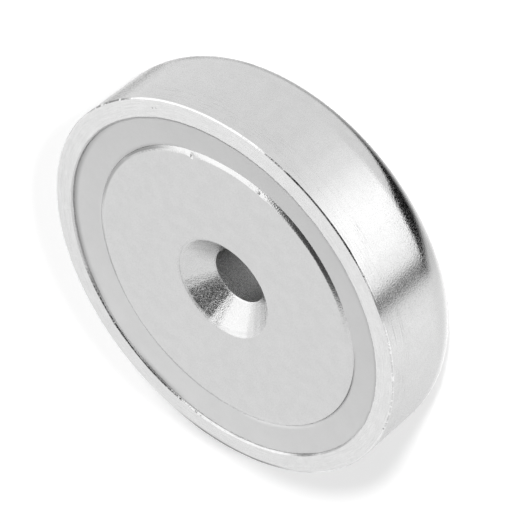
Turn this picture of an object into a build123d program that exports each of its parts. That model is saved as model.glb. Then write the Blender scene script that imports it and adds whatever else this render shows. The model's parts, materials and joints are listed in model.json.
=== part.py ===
"""Countersunk pot magnet: a ring magnet potted in a plated steel pot.

The part lies on the closed back of its pot. The origin is the centre of that back, and +Z runs along the
screw's axis, out of the magnet's face. Lengths are in millimetres.
"""

import os

from build123d import *

# Pot: a steel cup with a straight wall, a closed base and a rounded back edge
pot_diameter = 60.0
pot_height = 15.0
wall_thickness = 3.0
base_thickness = 4.4
back_round_width = 3.9  # the back edge rounds over this much of the base
back_round_height = 5.1  # and over this much of the wall
rim_outer_chamfer = 0.25
rim_inner_chamfer = 0.25

# Ring magnet: stands on the pot's base, in the middle of its cavity
resin_gap = 4.5  # room for the potting resin, from the pot's wall to the magnet's side
magnet_below_rim = 0.6
shoulder_width = 1.1  # tumbling has rounded this much of its face down to its side
shoulder_radius = 2.5

# Way for a countersunk screw, through the magnet and the pot's base
screw_hole_diameter = 8.6
countersink_diameter = 15.4
countersink_angle = 90.0
countersink_mouth_radius = 0.5  # rounds the edge between the cone and the magnet's face
back_hole_chamfer = 0.4

# Potting resin: cast between the wall and the magnet, with a top that hangs like a meniscus
resin_below_rim = 0.3  # where it meets the wall
resin_below_face = 0.18  # where it meets the magnet's shoulder
resin_sag = 0.14  # how far its middle hangs below a straight line between the two

# Radii and levels that follow
pot_radius = pot_diameter / 2
cavity_radius = pot_radius - wall_thickness
magnet_radius = cavity_radius - resin_gap
hole_radius = screw_hole_diameter / 2
countersink_radius = countersink_diameter / 2
face_level = pot_height - magnet_below_rim
magnet_thickness = face_level - base_thickness
magnet_middle_level = face_level - magnet_thickness / 2
shoulder_drop = shoulder_radius - (shoulder_radius**2 - shoulder_width**2) ** 0.5

# Steel pot: the section of its wall and base, turned about the screw's axis
with BuildPart() as steel_pot:
    with BuildSketch(Plane.XZ):
        with BuildLine():
            Polyline(
                (0, base_thickness),
                (0, 0),
                (pot_radius - back_round_width, 0),
            )
            EllipticalCenterArc(
                (pot_radius - back_round_width, back_round_height),
                back_round_width,
                back_round_height,
                start_angle=-90,
            )
            Polyline(
                (pot_radius, back_round_height),
                (pot_radius, pot_height),
                (cavity_radius, pot_height),
                (cavity_radius, base_thickness),
                (0, base_thickness),
            )
        make_face()
    revolve(axis=Axis.Z)
    rim_edges = steel_pot.edges().filter_by(GeomType.CIRCLE).group_by(Axis.Z)[-1]
    chamfer(rim_edges.sort_by(SortBy.RADIUS)[0], rim_inner_chamfer)
    chamfer(rim_edges.sort_by(SortBy.RADIUS)[-1], rim_outer_chamfer)
    Hole(hole_radius)
    back_edges = steel_pot.edges().filter_by(GeomType.CIRCLE).group_by(Axis.Z)[0]
    chamfer(back_edges.sort_by(SortBy.RADIUS)[0], back_hole_chamfer)

# Ring magnet: a disc with a rounded shoulder at its face and a plain bevel as large at its back, then the
# hole and the countersink
with BuildPart() as ring_magnet:
    with BuildSketch(Plane.XZ):
        with BuildLine():
            Polyline(
                (magnet_radius - shoulder_width, face_level),
                (0, face_level),
                (0, base_thickness),
                (magnet_radius - shoulder_width, base_thickness),
                (magnet_radius, base_thickness + shoulder_drop),
                (magnet_radius, face_level - shoulder_drop),
            )
            RadiusArc(
                (magnet_radius, face_level - shoulder_drop),
                (magnet_radius - shoulder_width, face_level),
                -shoulder_radius,
            )
        make_face()
    revolve(axis=Axis.Z)
    with Locations((0, 0, face_level)):
        CounterSinkHole(
            hole_radius,
            countersink_radius,
            depth=magnet_thickness,
            counter_sink_angle=countersink_angle,
        )
    face_edges = ring_magnet.edges().filter_by(GeomType.CIRCLE).group_by(Axis.Z)[-1]
    fillet(face_edges.sort_by(SortBy.RADIUS)[0], countersink_mouth_radius)

# Potting resin: the section of the gap, turned about the same axis, less the magnet it was cast around, so
# that it fills the room under the magnet's bevel too
shoulder_reach = (shoulder_radius**2 - (shoulder_radius - resin_below_face) ** 2) ** 0.5
resin_inner_top = (
    magnet_radius - shoulder_width + min(shoulder_reach, shoulder_width),
    face_level - resin_below_face,
)
resin_outer_top = (cavity_radius, pot_height - resin_below_rim)
resin_middle_top = (
    (resin_inner_top[0] + resin_outer_top[0]) / 2,
    (resin_inner_top[1] + resin_outer_top[1]) / 2 - resin_sag,
)
with BuildPart() as potting_resin:
    with BuildSketch(Plane.XZ):
        with BuildLine():
            ThreePointArc(resin_inner_top, resin_middle_top, resin_outer_top)
            Polyline(
                resin_outer_top,
                (cavity_radius, base_thickness),
                (magnet_radius - shoulder_width, base_thickness),
                (magnet_radius - shoulder_width, magnet_middle_level),
                (resin_inner_top[0], magnet_middle_level),
                resin_inner_top,
            )
        make_face()
    revolve(axis=Axis.Z)
    add(ring_magnet.part, mode=Mode.SUBTRACT)

os.makedirs("parts", exist_ok=True)
for name, piece in (
    ("steel_pot", steel_pot),
    ("ring_magnet", ring_magnet),
    ("potting_resin", potting_resin),
):
    piece.part.label = name
    export_step(piece.part, f"parts/{name}.step")
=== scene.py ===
"""Looks of the countersunk pot magnet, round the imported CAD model.

Three pieces turned like lathe work stand for the CAD solids: the nickel-plated pot, the nickel-plated ring
magnet and the ring of potting resin between them. The part lies on its closed back, on a white studio
table. Lengths are in millimetres up to the meshes, which are in metres. Angles round the part are in
degrees, from the side that faces the camera (-Y) towards +X.
"""

import json
import math
from types import SimpleNamespace

import bpy
import numpy as np
from mathutils import Matrix, Vector


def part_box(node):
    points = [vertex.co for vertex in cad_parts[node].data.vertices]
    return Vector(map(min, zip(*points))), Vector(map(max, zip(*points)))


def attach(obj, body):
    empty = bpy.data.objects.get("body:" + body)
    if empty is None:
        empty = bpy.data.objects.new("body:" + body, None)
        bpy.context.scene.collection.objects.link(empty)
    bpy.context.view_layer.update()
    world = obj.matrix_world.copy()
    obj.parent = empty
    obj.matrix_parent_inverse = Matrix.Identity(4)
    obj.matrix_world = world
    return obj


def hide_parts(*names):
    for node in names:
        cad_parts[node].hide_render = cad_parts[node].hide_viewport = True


MM = 0.001
WHITE = (1, 1, 1, 1)

# ------------------------------------------------------------ camera, from the photograph's framing
image_side = 524
lens_pixels = 3001.0  # focal length
rim_centre_pixels = (218.9, 290.2)  # the middle of the rim's plane
rim_radius_pixels = 220.3  # its radius, if it faced the camera
axis_lean = 55.54  # angle between the screw's axis and the line of sight
axis_turn = 219.29  # the way the axis points in the picture, anticlockwise from right
sensor_width = 36.0
camera_clip = (0.01, 20.0)  # in metres

# ------------------------------------------------------------ how finely the pieces are divided
pot_turns = 1200
magnet_turns = 1080
resin_turns = 900
corner_steps = 4  # of a softened corner
back_round_steps = 30
shoulder_steps = 12
shoulder_table_steps = 200  # of the look-up of the place where the resin meets the shoulder
sharp_angle = 50  # edges that bend by more than this stay sharp

# ------------------------------------------------------------ pot
back_round_width = 3.9
back_round_height = 5.1
back_hole_chamfer = 0.4
rim_outer_chamfer = 0.13
rim_inner_chamfer = 0.18
edge_cut = 0.03  # how far the corners beside a chamfer are cut back and rounded
lip_cut = 0.05  # and the corner between the inner chamfer and the rim's flat
# plain rows keep the shading of the flats even; these are their distances from the edge beside them
inside_row = 1.0
lip_row = 0.45
edge_row = 0.4
wall_row = 5.0
round_row = 0.15
# stretches of wear: middle and half width in degrees, and how much wider the chamfer is there
outer_burrs = ((292, 4.5, 0.1), (38, 22, 0.03))
outer_wear = (-6, 34, 0.05)
outer_spared = (48, 32, -0.025)
inner_burrs = ((169, 7, 0.07),)
inner_wear = ((218, 26, 0.07),)

# ------------------------------------------------------------ ring magnet
shoulder_width = 1.1
shoulder_slope = 0.22  # of the worn shoulder, just outside the face's edge
shoulder_steepening = 0.1  # and how much steeper it is at its outer edge
shoulder_ease = 0.04  # rounds the edge between the face and the shoulder
shoulder_cut = 0.16  # how far the shoulder's outer edge is cut back
countersink_radius = 7.85
mouth_cut = 0.28  # how far from the countersink's edge its rounding starts
bore_cut = 0.05  # and the same at the foot of the cone
cone_rows = (0.3, 0.4)  # plain rows near the cone's foot and near its mouth
face_rows = (8.5, 12.0, 15.0, 18.0, 20.5, 20.9)
magnet_drift = 0.28  # the magnet is this far off the pot's axis
magnet_drift_angle = 290.0
nick_angle = 47.5  # a nick in the shoulder
nick_half_width = 3.5
nick_reach = 0.35
chip = (nick_angle + 0.6, 0.8, 0.07)  # beside the nick: middle, half width and depth
rough_angle = 17.0  # the middle of a rough stretch of the shoulder
rough_half_width = 6.0  # its half width, and that of the rough stretch round the nick
nick_roughness = 0.5  # how rough the latter is, as a share of the former
wear_pace = 1.4  # the wear ends where the share of the shoulder's width, times this, is 1
crisp_side = 0.35  # the shoulder is this much narrower at one side
crisp_side_at = (168, 50)  # middle and half width

# ------------------------------------------------------------ potting resin
resin_below_rim = 0.42
resin_dip = 0.14  # it stands this much lower at one side
resin_dip_at = (115, 65)  # middle and half width
resin_below_face = 0.22
resin_sag = 0.02
resin_short = 0.01  # it meets the shoulder at least this far short of the shoulder's outer edge
resin_behind = 0.3  # its side leaves the magnet's side this far below the shoulder
crevice_depth = 0.34  # where the resin has shrunk off the magnet
crevice_width = 0.11  # as a share of the resin's width
crevices = ((73, 24, 0.3), (100, 40, 0.35), (267, 46, 1.6))  # middle, half width, and share of the depth
# the points across its top, as shares of the way from the magnet to the wall, closer at the crevice
resin_shares = (0, 0.01, 0.02, 0.03, 0.045, 0.06, 0.075, 0.09, *np.linspace(0.11, 1, 14))

# ------------------------------------------------------------ greys, as shares of white
wall_grey = 0.645
rim_near_lit_grey = 0.775
rim_far_shaded_grey = 0.735
rim_shading_reach = 24.0  # painted shading: the rim's grey changes from this far on the near side to as far on the far side
rim_edge = (0.02, 0.005)  # the rim's finish comes up between these depths below its plane
worn_edge_highlight_grey = 0.86
worn_edge_highlight_reach = (0.26, 0.2)  # the worn outer corner, painted lighter as a highlight, comes up this near the rim's outer corner, in Z plus radius
scratch_left = 0.94  # how much of the grey a scratch leaves
scratched_levels = (10.0, 12.5)  # scratches come up between these levels
scratched_low = 0.15  # and this share of them is left below
magnet_grey = 0.645
sink_ease = 0.2  # the countersink's finish changes to the face's this far to each side of its edge
bore_ease = (0.1, 0.25)  # and to the bore's from this far below the cone's foot to this far above it
bore_pits = (0.95, 1.2)  # factors on the bore's grey, between and in its pits
bore_painted_light_sides = (1.35, 0.8)  # painted light and shade: factors on the bore's grey on its -X and its +X side
bore_painted_light_reach = 3.5  # this far from the axis
resin_body_grey = 0.57

# ------------------------------------------------------------ roughness
# what is named for pits, scratches, the mouth, the bore or clouds is added to the others
wall_foot_roughness = 0.08
wall_roughness = 0.115
wall_foot = (4.5, 6.5)  # the levels between which it changes
rim_roughness = 0.22
wall_pit_roughness = 0.24
rim_pit_roughness = 0.05
scratch_roughness = 0.35
face_roughness = 0.1
sink_roughness = 0.17
face_pit_roughness = 0.05
sink_pit_roughness = 0.16
mouth_roughness = 0.15
mouth_ring = (0.25, 0.4)  # the dull ring at the mouth ends between these distances from its edge
bore_roughness = 0.1
resin_roughness = 0.36
cloud_roughness = 0.1

# ------------------------------------------------------------ how high the fine reliefs are
pot_grain_height = 0.028
ring_mark_height = 0.008
magnet_grain_height = 0.042
face_grain = 0.3  # the share of it on the magnet's face
cloud_height = 0.03
filler_height = 0.004

# ------------------------------------------------------------ painted shade on the rim's edges, and specks
# painted shade: middle, half width, strength, and whether it is broken up, on the outer edge and on the
# inner one
painted_edge_shade = (
    (74, 9, 0.95, 1), (15.5, 3, 0.75, 0), (-1, 14, 0.85, 0), (331, 3.5, 0.85, 0), (306, 18, 0.3, 1),
    (211, 8, 0.9, 0), (226, 9, 0.85, 0), (242, 7, 0.6, 0),
)
painted_lip_shade = (
    (249, 5, 0.75, 0), (263, 9, 0.3, 0), (115, 36, 0.12, 0), (154, 5, 0.5, 0), (188, 6, 0.5, 0),
)
edge_shade_soft = 4.0
shade_and_speck_left = 0.25  # how much of the grey the painted shade and the specks leave
edge_shade_drop = (0.22, 0.16)  # painted shade on the outer edge comes up between these depths below the rim
edge_shade_inset = (0.24, 0.14)  # and between these distances inside its outer edge
lip_shade_drop = (0.9, 0.8)
lip_shade_reach = (0.18, 0.26)  # painted shade on the inner edge ends between these distances outside the inner edge
specks = ((57.6, 28.58, 0.12), (56.3, 28.62, 0.1), (288.7, 29.85, 0.16))  # angle, radius, size
# painted shade at the rim's far edge: middle, half width, softness, the radii between which it comes up,
# and how much it leaves
rim_far_shade = (213, 8, 7, 29.0, 29.8, 0.86)
edge_far_shade = (219, 17, 7, 29.45, 29.7, 0.4)

# ------------------------------------------------------------ flecks and painted shade: middle, half width, softness, strength
shoulder_flecks = (72, 7, 4, 0.6)
# painted shade beside the magnet's edge
shoulder_shade = (98, 16, 10, 0.7)
shoulder_line = (75, 13, 8, 0.9)  # a painted shadow line where the resin meets the shoulder
shoulder_shade_inset = (1.0, 0.65)  # the flecks and the painted shade come up between these distances inside the magnet's edge
shoulder_line_inset = (0.7, 0.55)  # and the painted shadow line between these
flecks_and_shade_left = 0.42  # how much of the grey the flecks and the painted shade leave
wall_shade_stretches = ((118, 32, 18, 0.4), (153, 8, 6, 0.15), (188, 9, 7, 0.25))  # painted shade on the resin, along the wall
wall_shade_width = 0.9

# ------------------------------------------------------------ light
# each lamp's bearing round the part, its rise and its width, and what it gives a level surface, as a share
# of white. These values, room_light and table_glow were fitted by a program to the greys of the
# photograph's floor, and rounded between two of its results.
lamps = {"left_lamp": (17.2, 32.0, 7.7, 0.39), "right_lamp": (-8.0, 25.5, 4.0, 0.19)}
room_light = 0.42  # what the room adds to matt surfaces
horizon_strength = 0.85
horizon_top = 0.15  # the room is at its whitest from here up, as a sine
softbox_strength = 1.5
dim_strength = 0.05  # of the unlit ceiling over the camera
flag_strength = 0.08  # of the black flags round the studio
# What gloss sees besides the white room: the softbox, the dim ceiling and the black flags. Each fills the
# directions that its half-spaces share, which are given by the way they face. Then come its softness and
# its strength.
softbox_side = (0.907, 0.333, -0.258)
dark_side = tuple(-part for part in softbox_side)
left_side = (0.807, -0.395, 0.438)
reflected_room = (
    ((softbox_side, (0.298, -0.753, 0.587), (0.0, 0.5, 0.866)), 0.03, softbox_strength),
    ((dark_side, left_side, (0.0, 0.69, 0.72), (0.0, -0.968, -0.25)), 0.06, dim_strength),
    ((dark_side, left_side, (0.0, -0.75, 0.66), (0.0, 0.98, -0.2)), 0.02, flag_strength),
)
table_half = 3.0  # in metres
table_grey = 0.85
table_glow = 0.27  # lifts the lit table to white for the camera
table_gleam = 0.15  # and in reflections
far_cards = ((58, 16), (150, 18), (235, 18), (303, 16))  # grey cards on the table: bearing and half width
far_card_soft = 14.0
far_card_start = 58.0  # how far out they come up, and over how much
far_card_ease = 50.0
far_card_strength = 0.42

# ------------------------------------------------------------ cards that the pot's side reflects
# Curves of points: an angle round the part, then a level or a depth. The plain table's level is 1. Depth
# counts degrees of the rounding below the wall's lower edge, and is below 0 on the wall.
# The values were first listed, and then written against printed grey readings of the photograph and of
# the render along the pot's side, so wall_levels rises and falls much as the photograph's greys do.
wall_levels = (
    (-84, 0.74), (-76, 0.85), (-68, 0.95), (-60, 1.03), (-50, 1.1), (-40, 1.19), (-34, 1.05), (-32.4, 0.85),
    (-31, 0.45), (-30, 0.27), (-28.6, 0.24), (-27.4, 0.42), (-26, 1.0), (-25, 1.25), (-18, 1.5), (-8, 1.6),
    (-2, 1.44), (4, 1.18), (10, 1.05), (20, 0.98), (50, 1), (68, 0.97), (71, 0.95),
)
under_levels = (
    (-84, 0.9), (-60, 1.0), (-40, 1.05), (-34, 0.97), (-28, 0.78), (-24, 0.8), (-18, 0.9), (-11, 1.0),
    (0, 0.97), (60, 0.97), (80, 1.05),
)
under_from = 2.0  # the depth where the wall's levels give way to those under it, and over how much
under_soft = 3.0
# a dark line that bends round the corner: its curves give its angle and its level at each depth
line_half = 0.8
line_soft = 5.0  # how it fades towards the outline
line_angles = ((-10, 71.8), (0, 71.6), (5, 67), (10, 63.5), (15, 60), (20, 57), (25, 51), (30, 44))
line_levels = (
    (-10, 0.25), (0, 0.25), (5, 0.3), (10, 0.34), (15, 0.38), (20, 0.42), (25, 0.45), (30, 0.52),
)
outline_level = 1.05
band_levels = (  # a dark band along the rounding, which starts black and turns grey
    (-33, 1.0), (-30.5, 0.01), (0, 0.01), (8, 0.18), (16, 0.38), (24, 0.48), (33, 0.52), (50, 0.52),
    (60, 0.45),
)
band_tops = (
    (-29, -1), (-24, 2.4), (-17, 4.2), (-12, 6.5), (-9.5, 9.5), (-8, 13.5), (-4, 21.5), (0, 27), (4, 31),
    (10, 34), (17, 36), (33, 33), (50, 26), (60, 16),
)
band_feet = (
    (-80, -2), (-34, -2), (-31, -1), (-28, 2.5), (-25, 11), (-20, 21.5), (-16, 27.5), (-12, 30), (-8, 32.5),
    (0, 35), (8, 39), (17, 41), (33, 36), (50, 25), (60, 12),
)
band_top_soft = 2.5
band_foot_soft = 16.0
strip_starts = (  # a bright strip under the band
    (-85, -42), (-80, -30), (-76, -9), (-68, 3), (-60, 8), (-52, 12), (-44, 18), (-36, 26), (-20, 31),
    (0, 36), (20, 42), (40, 36), (60, 20),
)
strip_levels = (
    (-86, 1.0), (-76, 1.1), (-68, 1.3), (-60, 1.35), (-30, 1.3), (-16, 1.15), (-4, 0.95), (8, 0.8),
    (30, 0.75), (45, 0.85), (60, 0.95),
)
strip_soft = 22.0
card_reach = 86.0  # degrees to each side
card_step = 0.5
card_top = 24.0  # the height on the wall up to which the cards show
card_bend = 6.5  # the rows of the mesh lie closer below this height
card_bend_gap = 0.1  # and the first of them is this far below it
upper_rows = 25
lower_rows = 25
round_rows = 60
card_edge = 1.85  # how far under the rounding they show: near its outline
card_height = 0.05  # above the table
wall_depth = 6  # degrees of depth for each millimetre of the wall
collar_radius = 37.0  # the cards lie on the table out to here, and stand up beyond it

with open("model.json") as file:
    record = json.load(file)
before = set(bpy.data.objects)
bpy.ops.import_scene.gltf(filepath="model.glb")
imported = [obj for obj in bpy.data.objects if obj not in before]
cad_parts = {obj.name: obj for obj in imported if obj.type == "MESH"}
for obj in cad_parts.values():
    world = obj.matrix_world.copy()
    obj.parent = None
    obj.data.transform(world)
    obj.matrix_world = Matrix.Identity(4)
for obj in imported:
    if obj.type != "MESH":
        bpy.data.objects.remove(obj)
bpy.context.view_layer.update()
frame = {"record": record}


def far_side(node, axis):
    """The far side of a CAD node's box along an axis, in mm, to a micrometre."""
    return round(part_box(node)[1][axis] / MM, 3)


pot_radius = far_side("steel_pot", 0)
pot_height = far_side("steel_pot", 2)
magnet_radius = far_side("ring_magnet", 0)
face_level = far_side("ring_magnet", 2)
base_level = round(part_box("ring_magnet")[0][2] / MM, 3)
cavity_radius = far_side("potting_resin", 0)
mounts = {mount["name"]: mount for mount in frame["record"]["mounts"]}
hole_radius = mounts["screw_hole"]["dims"]["r_mm"]
cone_foot = face_level - (countersink_radius - hole_radius)


def add_object(name, data):
    made = bpy.data.objects.new(name, data)
    bpy.context.scene.collection.objects.link(made)
    return made


def add_mesh(name, vertices, faces):
    mesh = bpy.data.meshes.new(name)
    mesh.from_pydata(vertices, [], faces)
    return add_object(name, mesh)


# ============================================================ shapes
def ripple(angles, seed, size, finest, coarsest=2, waves=14):
    """A smooth seeded waver round a ring, about size high, of coarsest to finest waves a turn."""
    chance = np.random.default_rng(seed)
    counts = chance.integers(coarsest, finest, waves)
    phases = chance.uniform(0, math.tau, waves)
    return size * math.sqrt(2 / waves) * np.sin(np.outer(angles, counts) + phases).sum(1)


def hollow(angles, middle, half_width):
    """1 at the middle angle and 0 beyond half_width to each side of it, in degrees, with sloping sides."""
    away = np.abs((np.degrees(angles) - middle + 180) % 360 - 180)
    return np.clip(1 - away / half_width, 0, 1)


def hollows(angles, stretches):
    """The sum of several hollows, each a middle, a half width and a size."""
    return sum(size * hollow(angles, middle, half_width) for middle, half_width, size in stretches)


def pull(start, end, length):
    """The point at this length from start towards end."""
    way = end - start
    return start + way * length / np.linalg.norm(way, axis=1, keepdims=True)


def softened(angles, corners):
    """Points of a closed outline at each angle. A (radius, height, cut) corner is cut back and rounded."""
    flat = np.zeros_like(angles)
    places = [np.stack([radius + flat, height + flat], 1) for radius, height, _ in corners]
    rows = []
    for index, (_, _, cut) in enumerate(corners):
        here = places[index]
        if cut == 0:
            rows.append(here)
            continue
        before = pull(here, places[index - 1], cut)
        after = pull(here, places[(index + 1) % len(corners)], cut)
        for share in np.linspace(0, 1, corner_steps + 1):
            rows.append(before * (1 - share) ** 2 + here * 2 * share * (1 - share) + after * share**2)
    return np.stack(rows, 1)


def turned(name, turns, corners_at):
    """A watertight mesh: the closed outline that corners_at gives for the angles, turned about Z.

    The outline runs clockwise, with the radius to the right and the height up."""
    angles = np.linspace(0, math.tau, turns, endpoint=False)
    outline = softened(angles, corners_at(angles))
    radius, height = outline[..., 0], outline[..., 1]
    x = radius * np.sin(angles)[:, None]
    y = -radius * np.cos(angles)[:, None]
    points = outline.shape[1]
    here = np.arange(turns)[:, None] * points
    there = (np.arange(turns)[:, None] + 1) % turns * points
    step = np.arange(points)[None]
    following = (step + 1) % points
    faces = np.stack([here + step, here + following, there + following, there + step], -1)
    vertices = np.stack([x, y, height], -1).reshape(-1, 3) * MM
    piece = add_mesh(name, vertices.tolist(), faces.reshape(-1, 4).tolist())
    piece.data.shade_smooth()
    piece.data.set_sharp_from_angle(angle=math.radians(sharp_angle))
    return piece


def chamfers(angles):
    """The widths of the chamfers at the rim's inner and outer edges, at each angle."""
    outer_burr = np.abs(ripple(angles, seed=15, size=1.0, finest=300, coarsest=120))
    outer_burr *= hollows(angles, outer_burrs)
    middle, half_width, size = outer_wear
    outer_burr += size * np.sqrt(hollow(angles, middle, half_width)) + hollows(angles, (outer_spared,))
    inner_burr = np.abs(ripple(angles, seed=16, size=1.0, finest=300, coarsest=120))
    inner_burr *= hollows(angles, inner_burrs)
    inner = (
        rim_inner_chamfer
        + ripple(angles, seed=11, size=0.02, finest=60)
        + ripple(angles, seed=12, size=0.012, finest=240, coarsest=90)
        + inner_burr
        + hollows(angles, inner_wear)
    )
    outer = (
        rim_outer_chamfer
        + ripple(angles, seed=13, size=0.015, finest=60)
        + ripple(angles, seed=14, size=0.008, finest=260, coarsest=90)
        + outer_burr
    )
    return inner, outer


def pot_corners(angles):
    """The pot's section, from its bore up, out over the rim, and back under its rounded edge."""
    inner_chamfer, outer_chamfer = chamfers(angles)
    back = [
        (
            pot_radius - back_round_width * (1 - math.cos(around)),
            back_round_height * (1 - math.sin(around)),
            0,
        )
        for around in np.radians(np.linspace(0, 90, back_round_steps + 1))
    ]
    return [
        (hole_radius, back_hole_chamfer, 0),
        (hole_radius, base_level, 0),
        (cavity_radius, base_level, 0),
        (cavity_radius, pot_height - inside_row, 0),
        (cavity_radius, pot_height - inner_chamfer, edge_cut),
        (cavity_radius + inner_chamfer, pot_height, lip_cut),
        (cavity_radius + lip_row, pot_height, 0),
        (pot_radius - edge_row, pot_height, 0),
        (pot_radius - outer_chamfer, pot_height, edge_cut),
        (pot_radius, pot_height - outer_chamfer, edge_cut),
        (pot_radius, pot_height - edge_row, 0),
        (pot_radius, pot_height - wall_row, 0),
        (pot_radius, back_round_height + round_row, 0),
        *back,
        (hole_radius + back_hole_chamfer, 0, 0),
    ]


def magnet_offset(angles):
    """How far the magnet's drift moves its round edges outwards at each angle."""
    return magnet_drift * np.cos(angles - math.radians(magnet_drift_angle))


def shoulder_drop(reach):
    """How far the magnet's rounded shoulder has dropped, at this reach out from where it starts."""
    straight = np.sqrt((shoulder_slope * reach) ** 2 + shoulder_ease**2) - shoulder_ease
    return straight + shoulder_steepening / 2 * reach**2 / shoulder_width


def shoulder_start(angles):
    """Where the magnet's face ends and its shoulder starts: nicked at one place, crisper at one side."""
    return (
        magnet_radius
        - shoulder_width
        - nick_reach * hollow(angles, nick_angle, nick_half_width)
        + crisp_side * hollow(angles, *crisp_side_at)
    )


def shoulder_wear(angles):
    """How deep the shoulder is chipped and roughened at each angle."""
    rough = np.abs(ripple(angles, seed=21, size=0.016, finest=400, coarsest=150))
    at_nick = nick_roughness * hollow(angles, nick_angle, rough_half_width)
    rough *= np.maximum(hollow(angles, rough_angle, rough_half_width), at_nick)
    return hollows(angles, (chip,)) + rough


def magnet_corners(angles):
    """The magnet's section, from its bore up the countersink, over its face and down its shoulder."""
    offset = magnet_offset(angles)
    start = shoulder_start(angles)
    wear = shoulder_wear(angles)
    shoulder = []
    for share in np.linspace(0, 1, shoulder_steps + 1):
        radius = start + (magnet_radius - start) * share
        worn = wear * math.sin(math.pi * min(1, share * wear_pace))
        level = face_level - shoulder_drop(shoulder_width * share) - worn
        shoulder.append((radius + offset, level, shoulder_cut * (share == 1)))
    waver = ripple(angles, seed=22, size=0.02, finest=30)
    above_foot, below_mouth = cone_rows
    edge = shoulder_drop(shoulder_width)
    return [
        (hole_radius + offset, base_level, 0),
        (hole_radius + offset, cone_foot, bore_cut),
        (hole_radius + above_foot + offset, cone_foot + above_foot, 0),
        (countersink_radius - below_mouth + offset + waver, face_level - below_mouth, 0),
        (countersink_radius + offset + waver, face_level, mouth_cut),
        *[(radius + offset, face_level, 0) for radius in face_rows],
        *shoulder,
        (magnet_radius + offset, base_level + edge, 0),
        (magnet_radius - shoulder_width + offset, base_level, 0),
    ]


def resin_corners(angles):
    """The resin's section: its top lies between the magnet's shoulder and the pot's wall."""
    offset = magnet_offset(angles)
    crevice = crevice_depth * np.clip(hollows(angles, crevices), 0, 1)
    below_face = resin_below_face + ripple(angles, seed=31, size=0.015, finest=9) + crevice
    below_rim = resin_below_rim + ripple(angles, seed=32, size=0.02, finest=7)
    below_rim += resin_dip * np.sin(math.pi / 2 * hollow(angles, *resin_dip_at)) ** 2
    reaches = np.linspace(0, shoulder_width - resin_short, shoulder_table_steps)
    reach = np.interp(below_face, shoulder_drop(reaches), reaches) / shoulder_width
    start = shoulder_start(angles)
    inner = start + (magnet_radius - start) * reach + offset
    inner_level, outer_level = face_level - below_face, pot_height - below_rim
    edge = shoulder_drop(shoulder_width)
    top = []
    for share in resin_shares:
        level = inner_level + (outer_level - inner_level) * share - 4 * resin_sag * share * (1 - share)
        filled = crevice * math.sin(math.pi / 2 * min(share / crevice_width, 1))
        top.append((inner + (cavity_radius - inner) * share, level + filled * (1 - share), 0))
    return [
        (magnet_radius - shoulder_width + offset, base_level, 0),
        (magnet_radius + offset, base_level + edge, 0),
        (magnet_radius + offset, face_level - edge - resin_behind, 0),
        *top,
        (cavity_radius, base_level, 0),
    ]


pot = turned("pot_shell", pot_turns, pot_corners)
magnet = turned("magnet_ring", magnet_turns, magnet_corners)
resin = turned("resin_fill", resin_turns, resin_corners)
for piece, node, slot in (
    (pot, "steel_pot", "pot_nickel"),
    (magnet, "ring_magnet", "magnet_nickel"),
    (resin, "potting_resin", "resin"),
):
    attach(piece, "root")
    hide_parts(node)


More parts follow.
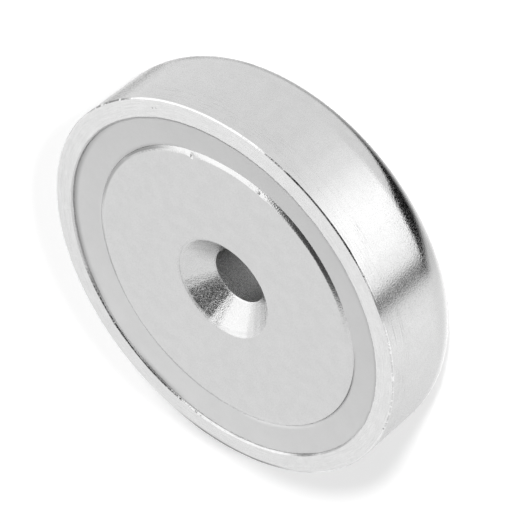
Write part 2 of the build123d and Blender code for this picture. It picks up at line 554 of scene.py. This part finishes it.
# ============================================================ materials
class Graph:
    """Writes a node tree with short calls. A value is a number, a tuple or another node's socket."""

    def __init__(self, owner):
        owner.use_nodes = True
        self.tree = owner.node_tree
        self.tree.nodes.clear()

    def node(self, kind, inputs=None, **settings):
        made = self.tree.nodes.new("ShaderNode" + kind)
        for name, value in settings.items():
            setattr(made, name, value)
        for name, value in (inputs or {}).items():
            self.join(value, made.inputs[name])
        return made

    def join(self, value, socket):
        if isinstance(value, bpy.types.NodeSocket):
            self.tree.links.new(value, socket)
        else:
            socket.default_value = value

    def math(self, operation, *values):
        return self.node("Math", dict(enumerate(values)), operation=operation).outputs[0]

    def chain(self, operation, first, *rest):
        """The same operation over and over, from the first value to the last."""
        for value in rest:
            first = self.math(operation, first, value)
        return first

    def times(self, *values):
        return self.chain("MULTIPLY", *values)

    def plus(self, *values):
        return self.chain("ADD", *values)

    def most(self, *values):
        return self.chain("MAXIMUM", *values)

    def mix(self, share, first, second):
        """first where share is 0, second where it is 1."""
        return self.node("Mix", {0: share, 2: first, 3: second}).outputs[0]

    def scaled(self, level, where, factor):
        """The level, times the factor where where is 1."""
        return self.times(level, self.mix(where, 1.0, factor))

    def step(self, value, low, high, at_low=0.0, at_high=1.0):
        """Eases from at_low to at_high as value goes from low to high."""
        made = self.node(
            "MapRange",
            {0: value, 1: low, 2: high, 3: at_low, 4: at_high},
            interpolation_type="SMOOTHSTEP",
        )
        return made.outputs[0]

    def below(self, value, low, high):
        """1 up to low, easing to 0 at high."""
        return self.step(value, low, high, 1.0, 0.0)

    def nearing(self, value, edge, reach):
        """Eases from 0 to 1 as the value comes near the edge from below, by these two distances from it."""
        far, near = reach
        return self.step(value, edge - far, edge - near)

    def vary(self, noise, amount):
        """A factor that the noise moves this much to each side of 1."""
        return self.step(noise, 0.3, 0.7, 1 - amount, 1 + amount)

    def dot(self, vector, direction):
        made = self.node("VectorMath", {0: vector, 1: direction}, operation="DOT_PRODUCT")
        return made.outputs["Value"]

    def noise(self, vector, scale, detail, roughness=0.5):
        made = self.node(
            "TexNoise", {"Vector": vector, "Scale": scale, "Detail": detail, "Roughness": roughness}
        )
        return made.outputs["Fac"]

    def place(self):
        """The point's place on the object: vector, x, y, z and radius in mm, and angle in degrees."""
        inside = self.node("TexCoord").outputs["Object"]
        vector = self.node("VectorMath", {0: inside, "Scale": 1 / MM}, operation="SCALE").outputs[0]
        x, y, z = self.node("SeparateXYZ", {0: vector}).outputs
        radius = self.math("SQRT", self.plus(self.times(x, x), self.times(y, y)))
        turn = self.math("ARCTAN2", x, self.times(y, -1.0))
        angle = self.times(turn, math.degrees(1))
        return SimpleNamespace(vector=vector, x=x, y=y, z=z, radius=radius, angle=angle)

    def near_angle(self, at, middle, half_width, soft):
        """1 within half_width degrees of the middle angle, easing to 0."""
        away = self.math("WRAP", self.math("SUBTRACT", at.angle, middle), 180.0, -180.0)
        return self.below(self.math("ABSOLUTE", away), half_width - soft, half_width + soft)

    def stretched(self, at, across, along_scale, across_scale):
        """Noise coordinates for marks that run round the part, much longer than they are wide."""
        parts = {0: self.times(at.x, along_scale), 1: self.times(at.y, along_scale)}
        return self.node("CombineXYZ", {**parts, 2: self.times(across, across_scale)}).outputs[0]

    def grey(self, level):
        return self.node("CombineColor", {0: level, 1: level, 2: level}).outputs[0]

    def bump(self, height, distance, under=None):
        inputs = {"Height": height, "Distance": distance, "Strength": 1.0}
        if under is not None:
            inputs["Normal"] = under
        return self.node("Bump", inputs).outputs[0]

    def glow(self, strength):
        return self.node("Emission", {"Color": WHITE, "Strength": strength}).outputs[0]

    def finish(self, shader):
        self.node("OutputMaterial", {"Surface": shader})

    def surface(self, level, rough, normal, metallic):
        """Ends the tree in a grey Principled shader."""
        inputs = {
            "Base Color": self.grey(level),
            "Metallic": metallic,
            "Roughness": rough,
            "Normal": normal,
        }
        self.finish(self.node("BsdfPrincipled", inputs).outputs[0])


def new_material(name):
    made = bpy.data.materials.new(name)
    return made, Graph(made)


def edge_shade_strength(graph, at, marks):
    """How strongly each stretch of an edge is painted with shade: dashes, or one dark line."""
    dashes = graph.step(graph.noise(at.vector, scale=1.6, detail=2.0, roughness=0.6), 0.4, 0.5)
    total = 0.0
    for middle, half_width, strength, broken in marks:
        here = graph.times(graph.near_angle(at, middle, half_width, edge_shade_soft), strength)
        if broken:
            here = graph.times(here, dashes)
        total = graph.most(total, here)
    return total


def edge_shade_and_specks(graph, at):
    """Painted shade along stretches of the rim's outer and inner edges, and three dark specks."""
    on_edge = graph.times(
        graph.nearing(at.z, pot_height, edge_shade_drop),
        graph.nearing(at.radius, pot_radius, edge_shade_inset),
    )
    near, far = lip_shade_reach
    on_lip = graph.times(
        graph.nearing(at.z, pot_height, lip_shade_drop),
        graph.below(at.radius, cavity_radius + near, cavity_radius + far),
    )
    shade_and_specks = graph.times(on_edge, edge_shade_strength(graph, at, painted_edge_shade))
    shade_and_specks = graph.most(shade_and_specks, graph.times(on_lip, edge_shade_strength(graph, at, painted_lip_shade)))
    for angle, radius, size in specks:
        turn = math.radians(angle)
        spot = (radius * math.sin(turn), -radius * math.cos(turn), pot_height)
        away = graph.node("VectorMath", {0: at.vector, 1: spot}, operation="DISTANCE").outputs["Value"]
        shade_and_specks = graph.most(shade_and_specks, graph.below(away, size * 0.5, size))
    return shade_and_specks


def shaded_stretch(graph, at, far_shade):
    """Where a stretch of painted shade lies, and how much of the grey it leaves."""
    middle, half_width, soft, inner, outer, left = far_shade
    at_angle = graph.near_angle(at, middle, half_width, soft)
    return graph.times(at_angle, graph.step(at.radius, inner, outer)), left


def pot_nickel():
    """Satin nickel on turned steel: fine pits, ring marks on the rim, scratches round the wall, a worn
    corner painted lighter as a highlight, and painted light and shade on the rim and its edges.
    """
    made, graph = new_material("pot_nickel")
    at = graph.place()
    on_rim = graph.nearing(at.z, pot_height, rim_edge)
    on_wall = graph.math("SUBTRACT", 1.0, on_rim)
    # the worn outer corner, painted lighter as a highlight
    worn = graph.nearing(graph.plus(at.z, at.radius), pot_height + pot_radius, worn_edge_highlight_reach)
    grain = graph.noise(at.vector, scale=5.2, detail=1.0)
    pits = graph.step(graph.noise(at.vector, scale=6.5, detail=1.0), 0.51, 0.59)
    patches = graph.noise(at.vector, scale=0.6, detail=3.0, roughness=0.6)
    round_rim = graph.stretched(at, at.radius, along_scale=0.3, across_scale=7.0)
    rings = graph.noise(round_rim, scale=1.0, detail=3.0, roughness=0.6)
    round_wall = graph.stretched(at, at.z, along_scale=0.15, across_scale=8.0)
    hoops = graph.noise(round_wall, scale=1.0, detail=3.0, roughness=0.65)
    near_rim = graph.times(graph.step(at.z, *scratched_levels, scratched_low, 1.0), on_wall)
    scratch = graph.times(graph.step(hoops, 0.52, 0.66), near_rim)
    on_rim_shade, rim_shade_left = shaded_stretch(graph, at, rim_far_shade)
    on_edge_shade, edge_shade_left = shaded_stretch(graph, at, edge_far_shade)

    # painted shading: the rim lighter on its near side and darker on its far side
    rim_grey = graph.step(at.y, -rim_shading_reach, rim_shading_reach, rim_near_lit_grey, rim_far_shaded_grey)
    level = graph.mix(on_rim, wall_grey, rim_grey)
    # painted highlight along the worn outer corner
    level = graph.mix(worn, level, worn_edge_highlight_grey)
    level = graph.times(level, graph.vary(patches, 0.02), graph.vary(grain, 0.02))
    level = graph.scaled(level, on_rim, graph.vary(rings, 0.04))
    level = graph.scaled(level, scratch, scratch_left)
    # painted shade along the rim's far outer edge
    level = graph.scaled(level, graph.times(on_rim_shade, on_rim), rim_shade_left)
    level = graph.scaled(level, on_edge_shade, edge_shade_left)
    # painted shade along the rim's edges, and three dark specks
    level = graph.scaled(level, edge_shade_and_specks(graph, at), shade_and_speck_left)
    rough = graph.mix(
        on_rim, graph.step(at.z, *wall_foot, wall_foot_roughness, wall_roughness), rim_roughness
    )
    rough = graph.plus(
        rough,
        graph.times(pits, graph.mix(on_rim, wall_pit_roughness, rim_pit_roughness)),
        graph.times(scratch, scratch_roughness),
    )
    normal = graph.bump(grain, pot_grain_height * MM)
    normal = graph.bump(graph.times(rings, on_rim), ring_mark_height * MM, normal)
    graph.surface(level, rough, normal, metallic=1.0)
    return made


def shoulder_flecks_and_shade(graph, at):
    """Dark flecks on the magnet's shoulder, painted shade beside its edge, and a painted shadow line where
    the resin meets it.
    """
    flecks = graph.step(graph.noise(at.vector, scale=3.5, detail=2.0, roughness=0.6), 0.4, 0.5)
    on_shoulder = graph.nearing(at.radius, magnet_radius, shoulder_shade_inset)
    at_resin = graph.nearing(at.radius, magnet_radius, shoulder_line_inset)
    *where, strength = shoulder_flecks
    flecks_and_shade = graph.times(graph.near_angle(at, *where), graph.times(flecks, strength))
    *where, strength = shoulder_shade
    flecks_and_shade = graph.most(flecks_and_shade, graph.times(graph.near_angle(at, *where), strength))
    *where, strength = shoulder_line
    line = graph.times(graph.near_angle(at, *where), graph.times(at_resin, strength))
    return graph.most(graph.times(flecks_and_shade, on_shoulder), line)


def magnet_nickel():
    """Satin nickel over sintered magnet: a finely pitted grain, coarser in the countersink."""
    made, graph = new_material("magnet_nickel")
    at = graph.place()
    in_sink = graph.below(at.radius, countersink_radius - sink_ease, countersink_radius + sink_ease)
    down, up = bore_ease
    in_bore = graph.below(at.z, cone_foot - down, cone_foot + up)
    from_mouth = graph.math("ABSOLUTE", graph.math("SUBTRACT", at.radius, countersink_radius))
    at_mouth = graph.below(from_mouth, *mouth_ring)
    grain = graph.noise(at.vector, scale=5.5, detail=1.0)
    pits = graph.step(graph.noise(at.vector, scale=8.0, detail=1.0), 0.5, 0.6)
    patches = graph.noise(at.vector, scale=0.5, detail=3.0, roughness=0.6)

    level = graph.times(magnet_grey, graph.vary(patches, 0.02), graph.vary(grain, 0.03))
    # painted shade beside the shoulder's edge and along the resin, with dark flecks
    level = graph.scaled(level, shoulder_flecks_and_shade(graph, at), flecks_and_shade_left)
    level = graph.scaled(level, in_bore, graph.step(pits, 0.2, 0.8, *bore_pits))
    # painted light and shade: the bore lighter on its -X side and darker on its +X side
    level = graph.scaled(level, in_bore, graph.step(at.x, -bore_painted_light_reach, bore_painted_light_reach, *bore_painted_light_sides))
    rough = graph.plus(
        graph.mix(in_sink, face_roughness, sink_roughness),
        graph.times(pits, graph.mix(in_sink, face_pit_roughness, sink_pit_roughness)),
        graph.times(at_mouth, mouth_roughness),
        graph.times(in_bore, bore_roughness),
    )
    normal = graph.bump(graph.times(grain, graph.mix(in_sink, face_grain, 1.0)), magnet_grain_height * MM)
    graph.surface(level, rough, normal, metallic=1.0)
    return made


def resin_grey():
    """Cast epoxy: pale grey, satin, with faint clouds of filler, a dull skin and painted shade along the
    wall.
    """
    made, graph = new_material("resin")
    at = graph.place()
    clouds = graph.noise(at.vector, scale=0.3, detail=4.0, roughness=0.6)
    filler = graph.noise(at.vector, scale=5.0, detail=3.0, roughness=0.6)
    wall_shade = 0.0
    for *where, strength in wall_shade_stretches:
        wall_shade = graph.most(wall_shade, graph.times(graph.near_angle(at, *where), strength))
    wall_shade = graph.times(wall_shade, graph.step(at.radius, cavity_radius - wall_shade_width, cavity_radius))

    level = graph.times(resin_body_grey, graph.vary(clouds, 0.02), graph.vary(filler, 0.015))
    # painted shade along the wall
    level = graph.times(level, graph.math("SUBTRACT", 1.0, wall_shade))
    rough = graph.plus(resin_roughness, graph.times(clouds, cloud_roughness))
    normal = graph.bump(clouds, cloud_height * MM)
    normal = graph.bump(filler, filler_height * MM, normal)
    graph.surface(level, rough, normal, metallic=0.0)
    return made


for piece, material in ((pot, pot_nickel()), (magnet, magnet_nickel()), (resin, resin_grey())):
    piece.data.materials.append(material)


# ============================================================ camera
def line_of_sight_frame():
    """Rows that turn camera directions into the row frame: the part's +X, +Y and +Z seen by the camera."""
    lean, turn = math.radians(axis_lean), math.radians(axis_turn)
    axis = Vector((math.sin(lean) * math.cos(turn), math.sin(lean) * math.sin(turn), math.cos(lean)))
    towards = Vector((-math.cos(lean) * math.cos(turn), -math.cos(lean) * math.sin(turn), math.sin(lean)))
    return Matrix((axis.cross(towards), -towards, axis))


def add_camera():
    """The photograph's camera, which sees the rim where the photograph shows it."""
    turn = line_of_sight_frame()
    distance = lens_pixels / rim_radius_pixels * pot_radius * MM
    across = (rim_centre_pixels[0] - image_side / 2) / lens_pixels * distance
    down = (rim_centre_pixels[1] - image_side / 2) / lens_pixels * distance
    rim_centre = Vector((across, -down, -distance))
    camera = add_object("camera", bpy.data.cameras.new("camera"))
    camera.data.sensor_width = sensor_width
    camera.data.lens = lens_pixels / image_side * sensor_width
    camera.data.clip_start, camera.data.clip_end = camera_clip
    place = Vector((0, 0, pot_height * MM)) - turn @ rim_centre
    camera.matrix_world = Matrix.Translation(place) @ turn.to_4x4()
    bpy.context.scene.camera = camera
    return camera


camera = add_camera()


# ============================================================ light and table
def add_lamp(name, bearing, rise, width, share):
    """A soft distant lamp, which gloss doesn't show."""
    lamp = add_object(name, bpy.data.lights.new(name, "SUN"))
    rise, bearing = math.radians(rise), math.radians(bearing)
    towards = (math.cos(rise) * math.sin(bearing), -math.cos(rise) * math.cos(bearing), math.sin(rise))
    lamp.data.energy = math.pi * share / towards[2]
    lamp.data.angle = math.radians(width)
    lamp.rotation_euler = Vector(towards).to_track_quat("Z", "Y").to_euler()
    lamp.visible_glossy = False


def within(graph, direction, sides, soft):
    """1 for directions inside all of these half-spaces, each given by the way it faces."""
    return graph.times(1.0, *[graph.step(graph.dot(direction, side), -soft, soft) for side in sides])


def add_room():
    """A white studio. Gloss also shows a large softbox, black flags and the dim ceiling over the camera."""
    world = bpy.data.worlds.new("studio")
    bpy.context.scene.world = world
    graph = Graph(world)
    direction = graph.node("TexCoord").outputs["Generated"]
    rise = graph.dot(direction, (0.0, 0.0, 1.0))
    seen = graph.step(rise, 0.0, horizon_top, horizon_strength, 1.0)
    for sides, soft, strength in reflected_room:
        seen = graph.mix(within(graph, direction, sides, soft), seen, strength)
    path = graph.node("LightPath").outputs
    strength = graph.mix(path["Is Glossy Ray"], room_light, seen)
    clear = graph.most(path["Is Camera Ray"], path["Is Transmission Ray"])
    strength = graph.mix(clear, strength, 1.0)
    shader = graph.node("Background", {"Strength": strength, "Color": WHITE})
    graph.node("OutputWorld", {"Surface": shader.outputs[0]})


def table_white():
    """Matt white, with grey cards lying far out on it that only gloss sees."""
    made, graph = new_material("table")
    at = graph.place()
    path = graph.node("LightPath").outputs
    clear = graph.most(path["Is Camera Ray"], path["Is Transmission Ray"])
    shown = graph.plus(graph.times(clear, table_glow), graph.times(path["Is Glossy Ray"], table_gleam))
    matt = graph.node("BsdfDiffuse", {"Color": (table_grey, table_grey, table_grey, 1)})
    both = graph.node("AddShader", {0: matt.outputs[0], 1: graph.glow(shown)})
    on_card = 0.0
    for bearing, half_width in far_cards:
        here = graph.near_angle(at, bearing, half_width, far_card_soft)
        here = graph.times(here, graph.step(at.radius, far_card_start, far_card_start + far_card_ease))
        on_card = graph.most(on_card, here)
    on_card = graph.times(on_card, path["Is Glossy Ray"])
    shader = graph.node("MixShader", {0: on_card, 1: both.outputs[0], 2: graph.glow(far_card_strength)})
    graph.finish(shader.outputs[0])
    return made


def add_table():
    """A square table, at the level that the part lies on."""
    corners = [(x * table_half, y * table_half, 0) for x, y in ((-1, -1), (1, -1), (1, 1), (-1, 1))]
    table = add_mesh("table", corners, [(0, 1, 2, 3)])
    table.data.materials.append(table_white())


for name, settings in lamps.items():
    add_lamp(name, *settings)
add_room()
add_table()
bpy.context.scene.view_settings.view_transform = "Standard"


# ============================================================ cards, seen only as reflections
def along(curve, place):
    """The height of a curve of (place, height) points at each place."""
    return np.interp(place, *zip(*curve))


def past(value, start, width):
    """0 up to the start, rising to 1 over the width."""
    return np.clip((value - start) / width, 0, 1)


def blend(first, second, share):
    return first + (second - first) * share


def card_levels(around, depth):
    """How brightly the wall and the rounding gleam at these places, with the plain table as 1."""
    wall, under = along(wall_levels, around), along(under_levels, around)
    plain = blend(wall, under, past(depth, under_from, under_soft))
    line = along(line_angles, depth)
    faded = blend(plain, outline_level, past(around, line, line_soft))
    plain = np.where(around > line + line_half, faded, plain)
    lined = blend(along(line_levels, depth), outline_level, past(around, line + line_half, line_soft))
    plain = np.where(around > line - line_half, np.minimum(lined, plain), plain)
    band = np.minimum(plain, along(band_levels, around))
    into_strip = past(depth, along(strip_starts, around), strip_soft)
    strip = blend(plain, along(strip_levels, around), into_strip)
    into_band = past(depth, along(band_tops, around) - band_top_soft / 2, band_top_soft)
    past_band = past(depth, along(band_feet, around), band_foot_soft)
    return blend(blend(plain, band, into_band), strip, past_band)


def pot_side():
    """The wall and the rounding as a mirror: its angles, depths, points and the ways that they face."""
    around = np.arange(-card_reach, card_reach + 0.1, card_step)[:, None]
    angle = np.radians(around)
    upper = np.linspace(card_top, card_bend, upper_rows)
    lower = np.linspace(card_bend - card_bend_gap, back_round_height, lower_rows, endpoint=False)
    heights = np.concatenate([upper, lower])
    on_wall = np.zeros((len(around), len(heights)))
    deepest = np.arctan(card_edge * np.cos(angle))
    turn = np.concatenate([on_wall, np.linspace(0, 1, round_rows) * deepest], 1)
    lean = np.arctan(back_round_width / back_round_height * np.tan(turn))
    radius = pot_radius - back_round_width * (1 - np.cos(turn))
    level = back_round_height * (1 - np.sin(turn))
    level[:, : len(heights)] = heights
    depth = np.degrees(turn)
    depth[:, : len(heights)] = (back_round_height - heights) * wall_depth
    outward = np.stack([np.sin(angle), -np.cos(angle)], -1)
    points = np.concatenate([outward * radius[..., None], level[..., None]], -1)
    normals = np.concatenate([outward * np.cos(lean)[..., None], -np.sin(lean)[..., None]], -1)
    return np.broadcast_to(around, depth.shape), depth, points, normals


def seen_round_part(points, normals, eye):
    """Where a mirror with these points and normals shows the table, or the collar that stands on it."""
    sight = points - eye
    sight /= np.linalg.norm(sight, axis=-1, keepdims=True)
    heading = sight - 2 * (sight * normals).sum(-1, keepdims=True) * normals
    to_table = (card_height - points[..., 2]) / heading[..., 2]
    # the way to the collar solves a quadratic: there the distance from the axis is the collar's radius
    squares = (heading[..., :2] ** 2).sum(-1)
    half_middle = (points[..., :2] * heading[..., :2]).sum(-1)
    missing = collar_radius**2 - (points[..., :2] ** 2).sum(-1)
    to_collar = (np.sqrt(half_middle**2 + squares * missing) - half_middle) / squares
    return points + heading * np.minimum(to_table, to_collar)[..., None]


def add_cards(eye):
    """White, grey and black studio cards, laid out where the camera sees them in the pot's side.

    They lie on the table round the part, and stand up from it as a collar further out."""
    around, depth, points, normals = pot_side()
    vertices = seen_round_part(points, normals, eye).reshape(-1, 3) * MM
    rows, columns = depth.shape
    corner = np.arange(rows - 1)[:, None] * columns + np.arange(columns - 1)[None]
    faces = np.stack([corner, corner + 1, corner + columns + 1, corner + columns], -1).reshape(-1, 4)
    cards = add_mesh("cards", vertices.tolist(), faces.tolist())
    glow = cards.data.attributes.new("glow", "FLOAT", "POINT")
    glow.data.foreach_set("value", card_levels(around, depth).astype(np.float32).ravel())
    cards.visible_camera = cards.visible_diffuse = cards.visible_shadow = False
    cards.visible_transmission = cards.visible_volume_scatter = False
    material, graph = new_material("cards")
    graph.finish(graph.glow(graph.node("Attribute", attribute_name="glow").outputs["Fac"]))
    cards.data.materials.append(material)


add_cards(np.array(camera.matrix_world.translation) / MM)
